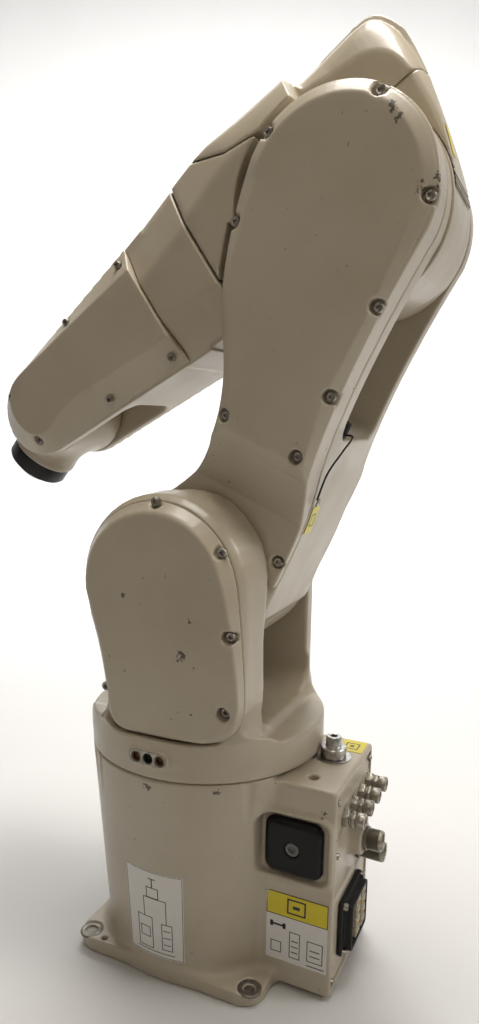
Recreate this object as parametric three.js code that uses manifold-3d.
// A compact six-axis industrial robot arm with a 0.7 m reach, as a three.js scene graph in millimetres.
// +Z is up, +X is the way the arm reaches and +Y is its left side.
// The origin is the centre of the foot's underside, on axis 1.
// Each link is a group placed on its own joint, so a link's pieces are written in that link's frame.

import * as THREE from "three";
import { mergeVertices } from "three/addons/utils/BufferGeometryUtils.js";
import Module from "manifold-3d";

const wasm = await Module();
wasm.setup();

// ---- Driving dimensions ----

const AXIS_2_HEIGHT = 399.1;
const LOWER_ARM_LENGTH = 350; // axis 2 to axis 3
const FOREARM_OFFSET = 42; // axis 4 above axis 3
const WRIST_DISTANCE = 351; // axis 3 to axis 5, along axis 4
const FLANGE_DISTANCE = 82; // axis 5 to the tool flange's face
const STORED_POSE = { axis2: -24.27, axis3: 58.57, axis5: 15.7 }; // degrees, turned about +Y
const CLEARANCE = 0.3; // between pieces that touch
const RUNNING = 1.5; // between a link and the next

const BASE = {
  top: 221.7, bottomRadius: 107, topRadius: 121,
  blockTop: 217, blockHalfWidth: 62, blockRear: 162,
};
const FOOT = { size: 210, thick: 15, corner: 24, holeAt: 92, holeRadius: 5.5 };
const SWING = { bottom: 222.3, discTop: 252, discRadius: 122, innerLeft: 60, innerRight: -78 };
const LEFT_CHEEK = { radius: 90, rear: 88 };
const RIGHT_CHEEK = { radius: 80, rear: 78 };
const SWING_COVER = { inner: 96, face: 116, bevel: 20 };
const FORK = {
  coverStart: 38, innerLeft: 25, seam: 48, face: 84,
  innerRight: -80, outerRight: -98, floor: 177, radius: 78.7,
};
const HOUSING = { front: 117.7, halfWidth: 64, left: 24 };
const WRIST_FORK = {
  root: 118.3, coverStart: 182, gap: 37, seam: 50, face: 67.5,
  slotFloor: 262, rootRadius: 60, tipRadius: 44,
};
const WRIST = { halfWidth: 35.5, radius: 43, neckRadius: 35, neckEnd: 57 };
const FLANGE = { ringRadius: 33, ringEnd: 75, radius: 20, boltCircle: 31.5, boltRadius: 2.5, bore: 10 };

// ---- Materials ----

const material = (color, roughness, metalness) =>
  new THREE.MeshStandardMaterial({ color, roughness, metalness });
const paint = () => material(0xc9c1ae, 0.45, 0);
const steel = () => material(0xb9b7b0, 0.3, 1);
const blackPlastic = () => material(0x1a1a1c, 0.5, 0);
const blackMetal = () => material(0x18181a, 0.4, 0.6);
const motorCase = () => material(0x2b2d30, 0.55, 0.3);

// ---- Geometry to solid and back ----

function toSolid(geometry) {
  const bare = new THREE.BufferGeometry();
  bare.setAttribute("position", geometry.getAttribute("position"));
  bare.setIndex(geometry.index);
  const merged = mergeVertices(bare, 1e-4);
  const vertProperties = merged.attributes.position.array;
  const triVerts = new Uint32Array(merged.index.array);
  return new wasm.Manifold(new wasm.Mesh({ numProp: 3, vertProperties, triVerts }));
}

function toGeometry(solid) {
  const mesh = solid.getMesh();
  const geometry = new THREE.BufferGeometry();
  geometry.setAttribute("position", new THREE.BufferAttribute(mesh.vertProperties, 3));
  geometry.setIndex(new THREE.BufferAttribute(mesh.triVerts, 1));
  geometry.computeVertexNormals();
  return geometry;
}

const joined = (first, ...others) => others.reduce((sum, other) => sum.add(other), first);
const cut = (first, ...others) => others.reduce((rest, other) => rest.subtract(other), first);

// ---- Outlines ----

// A closed outline through corners [x, y, setback]. A corner with a setback is rounded off over
// that length.
function outline(corners) {
  const shape = new THREE.Shape();
  const points = corners.map(([x, y]) => new THREE.Vector2(x, y));
  corners.forEach(([x, y, setback = 0], i) => {
    const before = points[(i + points.length - 1) % points.length];
    const after = points[(i + 1) % points.length];
    const enter = before.clone().sub(points[i]).setLength(setback).add(points[i]);
    const leave = after.clone().sub(points[i]).setLength(setback).add(points[i]);
    if (i === 0) shape.moveTo(enter.x, enter.y);
    else shape.lineTo(enter.x, enter.y);
    if (setback > 0) shape.quadraticCurveTo(x, y, leave.x, leave.y);
  });
  return shape;
}

function circle(radius, x = 0, y = 0) {
  return new THREE.Shape().absarc(x, y, radius, 0, 2 * Math.PI);
}

function roundedRectangle(width, height, setback, x = 0, y = 0) {
  const corners = [[-1, -1], [1, -1], [1, 1], [-1, 1]];
  return outline(corners.map(([i, j]) => [x + (i * width) / 2, y + (j * height) / 2, setback]));
}

// The outline of a belt round two circles: the first at (x1, 0), and the second, which is smaller
// and further along, at (x2, 0).
function taperedSlot(x1, radius1, x2, radius2) {
  const lean = Math.acos((radius1 - radius2) / (x2 - x1));
  const shape = new THREE.Shape();
  shape.absarc(x1, 0, radius1, lean, 2 * Math.PI - lean);
  shape.absarc(x2, 0, radius2, -lean, lean);
  return shape;
}

// ---- Solids ----

// How an outline drawn in x and y, and extruded along z, is turned to be extruded along each axis.
const TURNS = {
  x: new THREE.Matrix4().makeBasis(
    new THREE.Vector3(0, 1, 0), new THREE.Vector3(0, 0, 1), new THREE.Vector3(1, 0, 0)),
  y: new THREE.Matrix4().makeBasis(
    new THREE.Vector3(1, 0, 0), new THREE.Vector3(0, 0, 1), new THREE.Vector3(0, -1, 0)),
  z: new THREE.Matrix4(),
};

// An outline extruded along an axis from one coordinate to another. For x the outline's own x and y
// are the part's Y and Z, and for y they are its X and Z. A bevel draws both ends in by its size.
function prism(shape, axis, from, to, options = {}) {
  const { bevel = 0, depth = bevel, segments = 5, bevelSegments = 1 } = options;
  const geometry = new THREE.ExtrudeGeometry(shape, {
    depth: to - from - 2 * depth,
    curveSegments: segments,
    bevelEnabled: bevel > 0,
    bevelSize: bevel,
    bevelOffset: -bevel,
    bevelThickness: depth,
    bevelSegments,
  });
  geometry.applyMatrix4(TURNS[axis]);
  const start = axis === "y" ? to - depth : from + depth;
  const place = { x: [start, 0, 0], y: [0, start, 0], z: [0, 0, start] }[axis];
  return toSolid(geometry.translate(...place));
}

// A plate with only its outer end bevelled; outward is +1 or -1 along y.
function domedPlate(shape, seam, face, bevel, depth, segments = 8) {
  const outward = Math.sign(face - seam);
  const inner = seam - outward * (depth + 1);
  const [low, high] = outward > 0 ? [inner, face] : [face, inner];
  const whole = prism(shape, "y", low, high, { bevel, depth, segments, bevelSegments: 3 });
  const [trimLow, trimHigh] = outward > 0 ? [inner - 1, seam] : [seam, inner + 1];
  return cut(whole, block([-400, 600], [trimLow, trimHigh], [-400, 600]));
}

const rod = (axis, radius, from, to, at = [0, 0], sides = 32) =>
  prism(circle(radius, ...at), axis, from, to, { segments: sides / 2 });

function block([x0, x1], [y0, y1], [z0, z1]) {
  const geometry = new THREE.BoxGeometry(x1 - x0, y1 - y0, z1 - z0);
  return toSolid(geometry.translate((x0 + x1) / 2, (y0 + y1) / 2, (z0 + z1) / 2));
}

// A solid of revolution about +Z through [radius, height] points that start and end on the axis.
function turned(profile, sides = 64) {
  const points = profile.map(([radius, height]) => new THREE.Vector2(radius, height));
  return toSolid(new THREE.LatheGeometry(points, sides).rotateX(Math.PI / 2));
}

// ---- The scene graph ----

const robot = new THREE.Group();

function link(parent, position, degreesAboutY = 0) {
  const group = new THREE.Group();
  group.position.set(...position);
  group.rotation.y = THREE.MathUtils.degToRad(degreesAboutY);
  parent.add(group);
  return group;
}

function addPiece(group, name, solid, material) {
  const mesh = new THREE.Mesh(toGeometry(solid), material);
  mesh.name = name;
  group.add(mesh);
}

const swing = link(robot, [0, 0, 0]);
const lowerArm = link(swing, [0, 0, AXIS_2_HEIGHT], STORED_POSE.axis2);
const upperArm = link(lowerArm, [0, 0, LOWER_ARM_LENGTH], STORED_POSE.axis3);
const forearm = link(upperArm, [0, 0, FOREARM_OFFSET]);
const wrist = link(forearm, [WRIST_DISTANCE, 0, 0], STORED_POSE.axis5);
const toolFlange = link(wrist, [0, 0, 0]);

// ---- Base ----

const STOP_AT = [-134, -13];
const SIDE_COVER = { x: [-151, -93], z: [126, 182], recess: 3, proud: 9 };
const AIR_FITTINGS = { z: 181, y: [34, 7, -20, -47] };
const SIGNAL_CONNECTORS = { upper: [2, 146], lower: [-29, 116] };
const POWER_CONNECTOR = { y: [-22, 44], z: [38, 96] };

// The panel is let into the rear of the block and rests on a ledge round the rear cavity.
const PANEL = { width: 114, height: 200, middle: 110, seat: -150, face: -160 };

function baseCasting() {
  const foot = prism(roundedRectangle(FOOT.size, FOOT.size, FOOT.corner), "z", 0, FOOT.thick);
  const drum = turned([
    [0, 0], [BASE.bottomRadius - 4, 0], [BASE.bottomRadius, 18], [BASE.topRadius, 212],
    [BASE.topRadius, BASE.top], [0, BASE.top],
  ]);
  const blockOutline = outline([
    [-BASE.blockRear, -BASE.blockHalfWidth, 6], [-30, -BASE.blockHalfWidth],
    [-30, BASE.blockHalfWidth], [-BASE.blockRear, BASE.blockHalfWidth, 6],
  ]);
  const rearBlock = prism(blockOutline, "z", 0, BASE.blockTop, { bevel: 3 });
  const gearSeat = rod("z", 70, 150, BASE.top + 1);
  const cavity = rod("z", 92, 12, 150.1, [0, 0], 40);
  const rearCavity = block([PANEL.seat - 1, -60], [-54, 54], [12, 200]);
  const panelPocket = block(
    [-BASE.blockRear - 1, PANEL.seat],
    [-PANEL.width / 2 - CLEARANCE, PANEL.width / 2 + CLEARANCE],
    [PANEL.middle - PANEL.height / 2 - CLEARANCE, PANEL.middle + PANEL.height / 2 + CLEARANCE],
  );
  const coverRecess = block(
    [SIDE_COVER.x[0] - 6, SIDE_COVER.x[1] + 4],
    [BASE.blockHalfWidth - SIDE_COVER.recess, BASE.blockHalfWidth + 20],
    [SIDE_COVER.z[0] - 8, SIDE_COVER.z[1] + 11],
  );
  const footHoles = [[-1, -1], [-1, 1], [1, -1], [1, 1]].map(([i, j]) => {
    const at = [i * FOOT.holeAt, j * FOOT.holeAt];
    const hole = rod("z", FOOT.holeRadius, -1, FOOT.thick + 1, at, 20);
    return hole.add(rod("z", 11, FOOT.thick - 2, 40, at, 20));
  });
  const dowelHole = rod("z", 3, -1, FOOT.thick + 1, [71, 98], 12);
  const stopHole = rod("z", 5.3, 190, BASE.blockTop + 1, STOP_AT, 16);
  const sideScrewHole = rod("y", 4.3, 45, 63, [-122, 154], 12);
  return cut(
    joined(foot, drum, rearBlock),
    gearSeat, cavity, rearCavity, panelPocket, coverRecess,
    dowelHole, stopHole, sideScrewHole, ...footHoles,
  );
}

function stopScrew() {
  return joined(
    rod("z", 5, 195, 225, STOP_AT, 16),
    rod("z", 10.5, BASE.blockTop + CLEARANCE, 230, STOP_AT, 24),
    rod("z", 7, 229, 240, STOP_AT, 24),
  );
}

function connectorPanel() {
  const { width, height, middle, seat, face } = PANEL;
  const plate = prism(roundedRectangle(width, height, 5, 0, middle), "x", face, seat - CLEARANCE);
  const inside = seat + 2;
  const bosses = [
    rod("x", 17, face - 14, face + 1, SIGNAL_CONNECTORS.upper, 24),
    prism(roundedRectangle(92, 70, 6, 11, 67), "x", face - 1.5, face + 1),
  ];
  const { y, z } = POWER_CONNECTOR;
  const ports = [
    ...AIR_FITTINGS.y.map((across) => rod("x", 5.2, face - 4, inside, [across, AIR_FITTINGS.z], 16)),
    rod("x", 9.2, face - 18, inside, SIGNAL_CONNECTORS.upper, 20),
    rod("x", 9.2, face - 18, inside, SIGNAL_CONNECTORS.lower, 20),
    block([face - 8, inside], [y[0] + 6, y[1] - 6], [z[0] + 6, z[1] - 6]),
  ];
  return cut(joined(plate, ...bosses), ...ports);
}

function airFitting(y) {
  const { seat, face } = PANEL;
  const at = [y, AIR_FITTINGS.z];
  const nut = prism(circle(9.5, ...at), "x", face - 10, face - CLEARANCE, { segments: 3 });
  const thread = rod("x", 4.9, face - 5, seat + 4, at, 16);
  const sleeve = rod("x", 7.6, face - 22, face - 9.9, at, 16);
  return joined(nut, thread, sleeve);
}

function signalConnector(at, seat, tip) {
  return joined(
    rod("x", 8.8, seat - 5, PANEL.seat + 6, at, 20),
    rod("x", 11, tip, seat - CLEARANCE, at, 24),
  );
}

function powerConnector() {
  const { y, z } = POWER_CONNECTOR;
  const { seat, face } = PANEL;
  const housing = block([face - 16, face - 1.5 - CLEARANCE], y, z);
  const throat = block([face - 4, seat + 4], [y[0] + 6.5, y[1] - 6.5], [z[0] + 6.5, z[1] - 6.5]);
  return joined(housing, throat);
}

function sideCover() {
  const { x, z, recess, proud } = SIDE_COVER;
  const shape = roundedRectangle(x[1] - x[0], z[1] - z[0], 8, (x[0] + x[1]) / 2, (z[0] + z[1]) / 2);
  const seat = BASE.blockHalfWidth - recess + CLEARANCE;
  const plate = domedPlate(shape, seat, BASE.blockHalfWidth + proud, 3, 3, 3);
  return joined(plate, rod("y", 4, 47, 62, [-122, 154], 12));
}

addPiece(robot, "base_casting", baseCasting(), paint());
addPiece(robot, "connector_panel", connectorPanel(), paint());
AIR_FITTINGS.y.forEach((y, i) => addPiece(robot, `air_fitting_${i + 1}`, airFitting(y), steel()));
const upperSignal = signalConnector(SIGNAL_CONNECTORS.upper, PANEL.face - 14, PANEL.face - 32);
const lowerSignal = signalConnector(SIGNAL_CONNECTORS.lower, PANEL.face, PANEL.face - 28);
addPiece(robot, "signal_connector_upper", upperSignal, steel());
addPiece(robot, "signal_connector_lower", lowerSignal, steel());
addPiece(robot, "power_connector", powerConnector(), blackPlastic());
addPiece(robot, "side_cover", sideCover(), blackPlastic());
addPiece(robot, "axis_1_stop_screw", stopScrew(), steel());
addPiece(robot, "axis_1_motor", rod("z", 32, 40, 158 - CLEARANCE), motorCase());
addPiece(robot, "axis_1_gear_unit", rod("z", 69.5, 158, BASE.top), steel());
addPiece(robot, "encoder_board", block([-138, -134], [-40, 40], [60, 130]), blackPlastic());

// ---- Swing ----

const LUG_ANGLE = 5.5; // degrees from +X, opposite the stop screw
const SWING_PORTS = { z: 243, x: [-11, 0, 11] };
const SWING_SCREWS = [[-1.6, 78.4], [-66.6, 39], [-75.7, -33.7], [-72, -103], [54.6, -100]];
const SWING_MOTOR = [-10, -88];

// The cheek's outline about axis 2: a round head on a waisted leg.
function cheekOutline({ radius, rear }) {
  const shape = new THREE.Shape();
  shape.moveTo(80, -160);
  shape.quadraticCurveTo(76, -85, radius - 4, -28);
  shape.absarc(0, 0, radius, -0.15, Math.PI + 0.05);
  shape.quadraticCurveTo(-rear + 2, -50, -rear, -160);
  return shape;
}

const aboutAxis2 = (solid) => solid.translate([0, 0, AXIS_2_HEIGHT]);

// Everything the swing may fill: its disc, flaring out to the cheeks.
function swingEnvelope() {
  return turned([
    [0, SWING.bottom], [SWING.discRadius - 2, SWING.bottom], [SWING.discRadius, SWING.bottom + 2],
    [SWING.discRadius, SWING.discTop], [150, 290], [165, 520], [0, 520],
  ]);
}

function swingHousing() {
  const disc = rod("z", SWING.discRadius, SWING.bottom, SWING.discTop, [0, 0], 64);
  const seam = SWING_COVER.inner - CLEARANCE;
  const left = prism(cheekOutline(LEFT_CHEEK), "y", SWING.innerLeft, seam);
  const right = prism(cheekOutline(RIGHT_CHEEK), "y", -seam, SWING.innerRight);
  const fillet = outline([
    [SWING.innerRight - 4, SWING.discTop - 6], [SWING.innerLeft + 4, SWING.discTop - 6],
    [SWING.innerLeft + 4, 292], [SWING.innerLeft - 8, 262, 10], [SWING.innerRight + 8, 262, 10],
    [SWING.innerRight - 4, 292],
  ]);
  const saddle = prism(fillet, "x", -92, 84);
  const portBoss = prism(roundedRectangle(42, 15, 7, 0, SWING_PORTS.z), "y", 100, 124);
  const lug = block([118, 131], [-7, 7], [228, 240]).rotate([0, 0, LUG_ANGLE]);
  const envelope = swingEnvelope();
  const body = joined(disc, aboutAxis2(left), aboutAxis2(right), saddle).intersect(envelope);
  const bayOutline = cheekOutline({ radius: LEFT_CHEEK.radius - 12, rear: LEFT_CHEEK.rear - 14 });
  const motorBay = aboutAxis2(
    prism(bayOutline, "y", 67, 110).intersect(block([-200, 200], [60, 120], [-118, 200])));
  const gearBore = aboutAxis2(rod("y", 48.5, 50, 70));
  const bearingSeat = aboutAxis2(rod("y", 40.3, -94, -70));
  const outputBore = rod("z", 30, 200, 246);
  const ports = SWING_PORTS.x.map((x) => rod("y", 2.4, 108, 130, [x, SWING_PORTS.z], 12));
  return cut(joined(body, portBoss, lug), motorBay, gearBore, bearingSeat, outputBore, ...ports);
}

// A cheek's cover, trimmed below to the round of the disc.
function swingCover(side, cheek, screws) {
  const { inner, face, bevel } = SWING_COVER;
  const plate = domedPlate(cheekOutline(cheek), side * inner, side * face, bevel, 14, 6);
  const aboveDisc = block([-300, 300], [-300, 300], [-140, 300]);
  const pockets = screws.map((at) => rod("y", 6.5, 104, 130, at, 12));
  const shoulder = turned([[0, 240], [133, 240], [139, 266], [165, 300], [165, 520], [0, 520]]);
  return aboutAxis2(cut(plate.intersect(aboveDisc), ...pockets)).intersect(shoulder);
}

const screw = (at, seat, radius = 5) => rod("y", radius, seat + CLEARANCE, seat + 5, at, 12);

addPiece(swing, "swing_housing", swingHousing(), paint());
addPiece(swing, "swing_cover_left", swingCover(1, LEFT_CHEEK, SWING_SCREWS), paint());
addPiece(swing, "swing_cover_right", swingCover(-1, RIGHT_CHEEK, []), paint());
SWING_SCREWS.forEach((at, i) => {
  addPiece(swing, `swing_cover_screw_${i + 1}`, aboutAxis2(screw(at, 104)), steel());
});
addPiece(swing, "axis_2_motor", aboutAxis2(rod("y", 27, 67.3, 93, SWING_MOTOR)), motorCase());
addPiece(swing, "axis_2_gear_unit",
  aboutAxis2(joined(rod("y", 58, 67.3, 92), rod("y", 48, SWING.innerLeft - 0.3, 67.5))), steel());
const axis2Bearing = cut(rod("y", 40, -93.7, -79), rod("y", 30.3, -100, -70));
addPiece(swing, "axis_2_support_bearing", aboutAxis2(axis2Bearing), steel());

// ---- Lower arm: x across it, z along it from axis 2 ----

const LOWER_SCREWS = [
  [-2, 423.5], [72, 373], [-70, 371], [71.5, 305], [-69.5, 288],
  [-65, 213], [-60.6, 158], [14, 161], [-78, 62],
];
const AXIS_3_MOTOR = [-6, 250];
const DUST_CAP = [-62, 0, 176];

// The side view of the whole arm: hub, waist and round head about axis 3.
function armOutline(inset = 0) {
  const head = FORK.radius - inset;
  const shape = new THREE.Shape();
  shape.moveTo(-82 + inset, 0);
  shape.quadraticCurveTo(-90 + inset, 90, -76 + inset, 150);
  shape.quadraticCurveTo(-66 + inset, 230, -head, LOWER_ARM_LENGTH);
  shape.absarc(0, LOWER_ARM_LENGTH, head, Math.PI, 0, true);
  shape.quadraticCurveTo(74 - inset, 275, 50 - inset, 228);
  shape.quadraticCurveTo(20 - inset, 180, 20 - inset, 135);
  shape.quadraticCurveTo(22 - inset, 100, 60 - inset, 52);
  shape.lineTo(60 - inset, 0);
  return shape;
}

// The front view: narrow between the swing's cheeks, wide above them, with a plane across the left
// shoulder.
function armFrontOutline(left) {
  return outline([
    [SWING.innerRight + RUNNING, -20], [57.5, -20], [57.5, 100], [left, 153], [left, 440],
    [FORK.outerRight, 440], [FORK.outerRight, 140], [SWING.innerRight + RUNNING, 104],
  ]);
}

function lowerArmCasting() {
  const wide = prism(armOutline(), "y", FORK.outerRight, FORK.seam - CLEARANCE, { segments: 8 });
  const body = wide.intersect(prism(armFrontOutline(FORK.face), "x", -120, 120));
  const hub = rod("y", 82, SWING.innerRight + RUNNING, SWING.innerLeft - RUNNING, [0, 0], 40);
  const journal = rod("y", 29.8, -93, SWING.innerRight + RUNNING + 1);
  const gap = prism(outline([
    [FORK.innerRight, FORK.floor], [FORK.innerLeft, FORK.floor],
    [FORK.innerLeft, 500], [FORK.innerRight, 500],
  ]), "x", -150, 150);
  // The left prong's front edge is set back under the cover, so that the forearm's corner clears it.
  const forearmRoom = prism(outline([
    [74, 300], [54, 272], [26, 236], [8, 195], [8, FORK.floor], [120, FORK.floor], [120, 300],
  ]), "y", 0, FORK.seam);
  const coverRoom = block([-200, 200], [FORK.seam - CLEARANCE, 200], [FORK.coverStart - CLEARANCE, 500]);
  const gearBore = rod("y", 50.3, 20, 60, [0, LOWER_ARM_LENGTH]);
  const bearingSeat = rod("y", 36.3, -94, -75, [0, LOWER_ARM_LENGTH]);
  const capSeat = rod("z", 6.3, 160, 190, [DUST_CAP[0], DUST_CAP[1]], 16);
  return cut(joined(body, hub, journal), gap, forearmRoom, coverRoom, gearBore, bearingSeat, capSeat);
}

function lowerArmCover() {
  const shell = domedPlate(armOutline(), FORK.seam, FORK.face, 10, 7)
    .intersect(prism(armFrontOutline(FORK.face + 0.1), "x", -120, 120))
    .intersect(block([-200, 200], [0, 200], [FORK.coverStart, 500]));
  const hollow = prism(armOutline(16), "y", FORK.seam - 1, FORK.face - 5)
    .intersect(prism(armFrontOutline(FORK.face - 6), "x", -120, 120).translate([0, -4, 6]))
    .intersect(block([-200, 200], [0, 200], [60, 500]));
  const pockets = LOWER_SCREWS.map(([x, z]) => rod("y", 6.2, z > 100 ? 73 : 52, 130, [x, z], 12));
  return cut(shell, hollow, ...pockets);
}

function lowerScrew([x, z]) {
  return z > 100 ? screw([x, z], 73, 4.6) : screw([x, z], 52, 4.6);
}

function dustCap() {
  const [x, y, z] = DUST_CAP;
  const plug = joined(rod("z", 5.9, 162, 180, [x, y], 16), rod("z", 8.5, z + 1.5, z + 16, [x, y], 16));
  return cut(plug, rod("z", 5.5, z + 8, z + 20, [x, y], 16));
}

addPiece(lowerArm, "lower_arm_casting", lowerArmCasting(), paint());
addPiece(lowerArm, "lower_arm_cover", lowerArmCover(), paint());
LOWER_SCREWS.forEach((at, i) => {
  addPiece(lowerArm, `lower_arm_cover_screw_${i + 1}`, lowerScrew(at), steel());
});
addPiece(lowerArm, "axis_3_motor", rod("y", 27, FORK.seam + 1, 73, AXIS_3_MOTOR), motorCase());
const axis3Gear = rod("y", 50, HOUSING.left + 1.3, 73, [0, LOWER_ARM_LENGTH]);
addPiece(lowerArm, "axis_3_gear_unit", axis3Gear, steel());
const axis3Bearing = cut(
  rod("y", 36, -93.7, -81, [0, LOWER_ARM_LENGTH]), rod("y", 27.3, -100, -70, [0, LOWER_ARM_LENGTH]),
);
addPiece(lowerArm, "axis_3_support_bearing", axis3Bearing, steel());
addPiece(lowerArm, "port_dust_cap", dustCap(), blackPlastic());

// ---- Upper arm: x along axis 4, z square to it, from axis 3 ----

const AXIS_4_MOTOR = [-16, FOREARM_OFFSET];
const REAR_COVER = { top: 57, inner: 80.6 };

// The side view: a long box with its rear top corner as the highest point, on a round hub.
function housingOutline() {
  return outline([
    [HOUSING.front, -22], [HOUSING.front, 117], [40, 121, 20], [-84, 138, 24], [-108, 100, 20],
    [-97, 48, 20], [-72, -45, 24], [-30, -80, 20], [30, -80, 20], [80, -30, 12],
  ]);
}

function rearCoverOutline() {
  const shape = new THREE.Shape();
  shape.absarc(0, 0, REAR_COVER.inner, Math.PI - 0.785, Math.PI + 0.48);
  shape.lineTo(-76, -36);
  shape.quadraticCurveTo(-92, 10, -101.5, REAR_COVER.top);
  return shape;
}

function upperArmHousing() {
  const side = prism(housingOutline(), "y", -HOUSING.halfWidth, HOUSING.halfWidth);
  const front = prism(outline([
    [-HOUSING.halfWidth, -90], [HOUSING.halfWidth, -90], [HOUSING.halfWidth, 82, 10], [46, 120, 14],
    [28, 140], [-28, 140], [-46, 120, 14], [-HOUSING.halfWidth, 82, 10],
  ]), "x", -130, HOUSING.front);
  const hub = rod("y", 78, FORK.innerRight + RUNNING, HOUSING.left, [0, 0], 40);
  const journal = rod("y", 27, -93, FORK.innerRight + RUNNING + 1);
  const forkSweep = prism(outline([
    [0, 0], [85, 48], [112, 22], [135, -8], [135, -160], [-200, -160], [-200, 200], [-15, 200],
  ]), "y", HOUSING.left, 120);
  const forkHead = rod("y", 92, HOUSING.left, 120, [0, 0], 40);
  const beyond = rod("y", 200, -120, -HOUSING.halfWidth + 4);
  const farSide = beyond.subtract(rod("y", 78.5, -130, 0, [0, 0], 40));
  const rearCoverRoom = prism(outline([
    [-20, REAR_COVER.top + CLEARANCE], [-140, REAR_COVER.top + CLEARANCE], [-140, -120], [-40, -75.6],
  ]), "y", -100, 100).subtract(rod("y", REAR_COVER.inner - CLEARANCE, -110, 110, [0, 0], 40));
  const motorBay = rod("x", 30, -20, 93, AXIS_4_MOTOR);
  const gearBay = rod("x", 36.3, 92, 130, [0, FOREARM_OFFSET]);
  return joined(cut(side.intersect(front), forkSweep, forkHead, farSide, rearCoverRoom), hub, journal)
    .subtract(motorBay).subtract(gearBay);
}

function upperArmRearCover() {
  return prism(rearCoverOutline(), "y", -HOUSING.halfWidth + 6, HOUSING.left - 1, { segments: 8 });
}

addPiece(upperArm, "upper_arm_housing", upperArmHousing(), paint());
addPiece(upperArm, "upper_arm_rear_cover", upperArmRearCover(), paint());
addPiece(upperArm, "axis_4_motor", rod("x", 27, -15, 91, AXIS_4_MOTOR), motorCase());
addPiece(upperArm, "axis_4_gear_unit", rod("x", 36, 92.3, 117, [0, FOREARM_OFFSET]), steel());

// ---- Forearm: x along axis 4, from the plane of axis 3 ----

const WRIST_SCREWS = [[192, 50], [268.5, 45], [366, 28], [362, -27], [269, -43], [192, -51]];

function forearmCasting() {
  const flat = 64 * (Math.SQRT2 - 1);
  const octagon = outline([
    [-64, -flat, 8], [-flat, -64, 8], [flat, -64, 8], [64, -flat, 8],
    [64, flat, 8], [flat, 64, 8], [-flat, 64, 8], [-64, flat, 8],
  ]);
  const tube = prism(octagon, "x", WRIST_FORK.root, 192, { bevel: 2, segments: 3 });
  const { seam, gap, slotFloor, rootRadius, tipRadius } = WRIST_FORK;
  const forkOutline = taperedSlot(198, rootRadius, WRIST_DISTANCE, tipRadius);
  const fork = prism(forkOutline, "y", -seam + CLEARANCE, seam - CLEARANCE, { segments: 14 })
    .intersect(block([160, 500], [-100, 100], [-100, 100]));
  const slot = prism(outline([
    [slotFloor, -100], [500, -100], [500, 100], [slotFloor, 100],
  ]), "y", -gap, gap);
  const gearSeat = rod("y", 33.3, 30, 60, [WRIST_DISTANCE, 0]);
  const bearingSeat = rod("y", 22.3, -60, -30, [WRIST_DISTANCE, 0]);
  const motorBay = block([205, 250], [-34, 60], [-24, 24]);
  const cableWay = rod("x", 18, 100, 206, [0, 0], 20);
  const coverRoom = [1, -1].map((side) => {
    const [low, high] = side > 0 ? [seam - CLEARANCE, 100] : [-100, -seam + CLEARANCE];
    return block([WRIST_FORK.coverStart - CLEARANCE, 500], [low, high], [-100, 100]);
  });
  return cut(joined(tube, fork), ...coverRoom, slot, gearSeat, bearingSeat, motorBay, cableWay);
}

function wristCover(side) {
  const { seam, face, rootRadius, tipRadius } = WRIST_FORK;
  const shape = taperedSlot(198, rootRadius - 2, WRIST_DISTANCE, tipRadius);
  const plate = domedPlate(shape, side * seam, side * face, 12, 9, 14)
    .intersect(block([WRIST_FORK.coverStart, 500], [-100, 100], [-100, 100]));
  const [low, high] = side > 0 ? [40, 61] : [-61, -40];
  const hollow = prism(taperedSlot(210, 42, WRIST_DISTANCE, 34), "y", low, high);
  const pockets = WRIST_SCREWS.map((at) =>
    (side > 0 ? rod("y", 5, 60, 90, at, 12) : rod("y", 5, -90, -60, at, 12)));
  return cut(plate, hollow, ...pockets);
}

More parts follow.
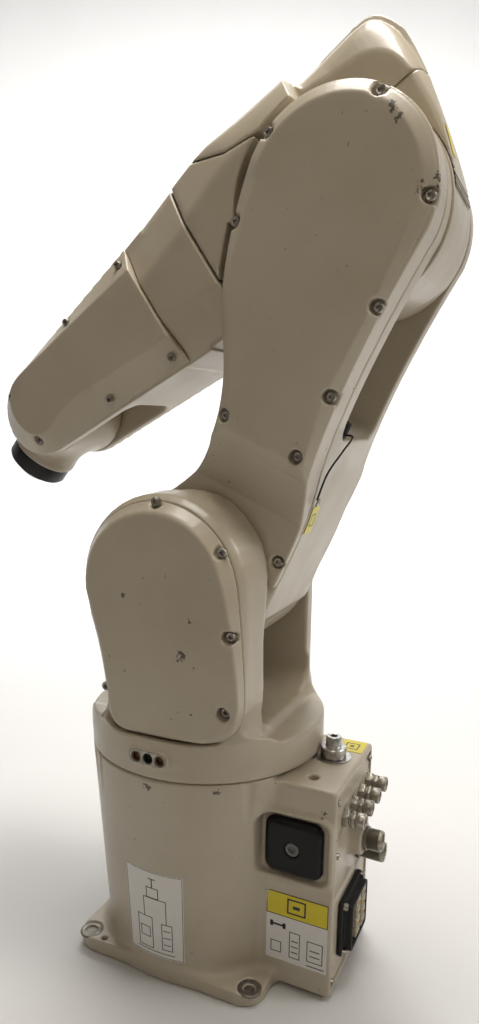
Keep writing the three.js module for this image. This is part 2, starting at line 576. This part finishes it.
addPiece(forearm, "forearm_casting", forearmCasting(), paint());
addPiece(forearm, "wrist_cover_left", wristCover(1), paint());
addPiece(forearm, "wrist_cover_right", wristCover(-1), paint());
addPiece(forearm, "axis_5_motor", block([207, 248], [-32, 56], [-20, 20]), motorCase());
const axis5Gear = rod("y", 33, WRIST.halfWidth + RUNNING, 58, [WRIST_DISTANCE, 0]);
addPiece(forearm, "axis_5_gear_unit", axis5Gear, steel());
const axis5Bearing = cut(
  rod("y", 22, -49, -WRIST.halfWidth - RUNNING, [WRIST_DISTANCE, 0]),
  rod("y", 14.3, -60, -30, [WRIST_DISTANCE, 0]),
);
addPiece(forearm, "axis_5_support_bearing", axis5Bearing, steel());

// ---- Wrist: x along axis 6, from axis 5 ----

function wristHousing() {
  const barrel = rod("y", WRIST.radius, -WRIST.halfWidth, WRIST.halfWidth, [0, 0], 40);
  const neck = rod("x", WRIST.neckRadius, 0, WRIST.neckEnd, [0, 0], 40);
  const journal = rod("y", 14, -48.5, -WRIST.halfWidth + 1, [0, 0], 24);
  const bay = rod("x", 24.3, -20, 80);
  return joined(barrel, neck, journal).subtract(bay);
}

function guardRing() {
  const ring = rod("x", FLANGE.ringRadius, WRIST.neckEnd + CLEARANCE, FLANGE.ringEnd, [0, 0], 48);
  return cut(ring, rod("x", 24.3, 40, 90));
}

function flangeDisc() {
  const hub = rod("x", 24, 52, 70);
  const disc = joined(hub, rod("x", FLANGE.radius, 69, FLANGE_DISTANCE, [0, 0], 40));
  const bore = rod("x", FLANGE.bore, 75, 90, [0, 0], 24);
  const bolts = [45, 135, 225, 315].map((degrees) => {
    const angle = THREE.MathUtils.degToRad(degrees);
    const at = [Math.cos(angle), Math.sin(angle)].map((part) => (part * FLANGE.boltCircle) / 2);
    return rod("x", FLANGE.boltRadius, 72, 90, at, 12);
  });
  return cut(disc, bore, ...bolts);
}

addPiece(wrist, "wrist_housing", wristHousing(), paint());
addPiece(wrist, "axis_6_drive", rod("x", 24, -18, 51), motorCase());
addPiece(wrist, "flange_guard_ring", guardRing(), blackMetal());
addPiece(toolFlange, "tool_flange", flangeDisc(), steel());

export default robot;
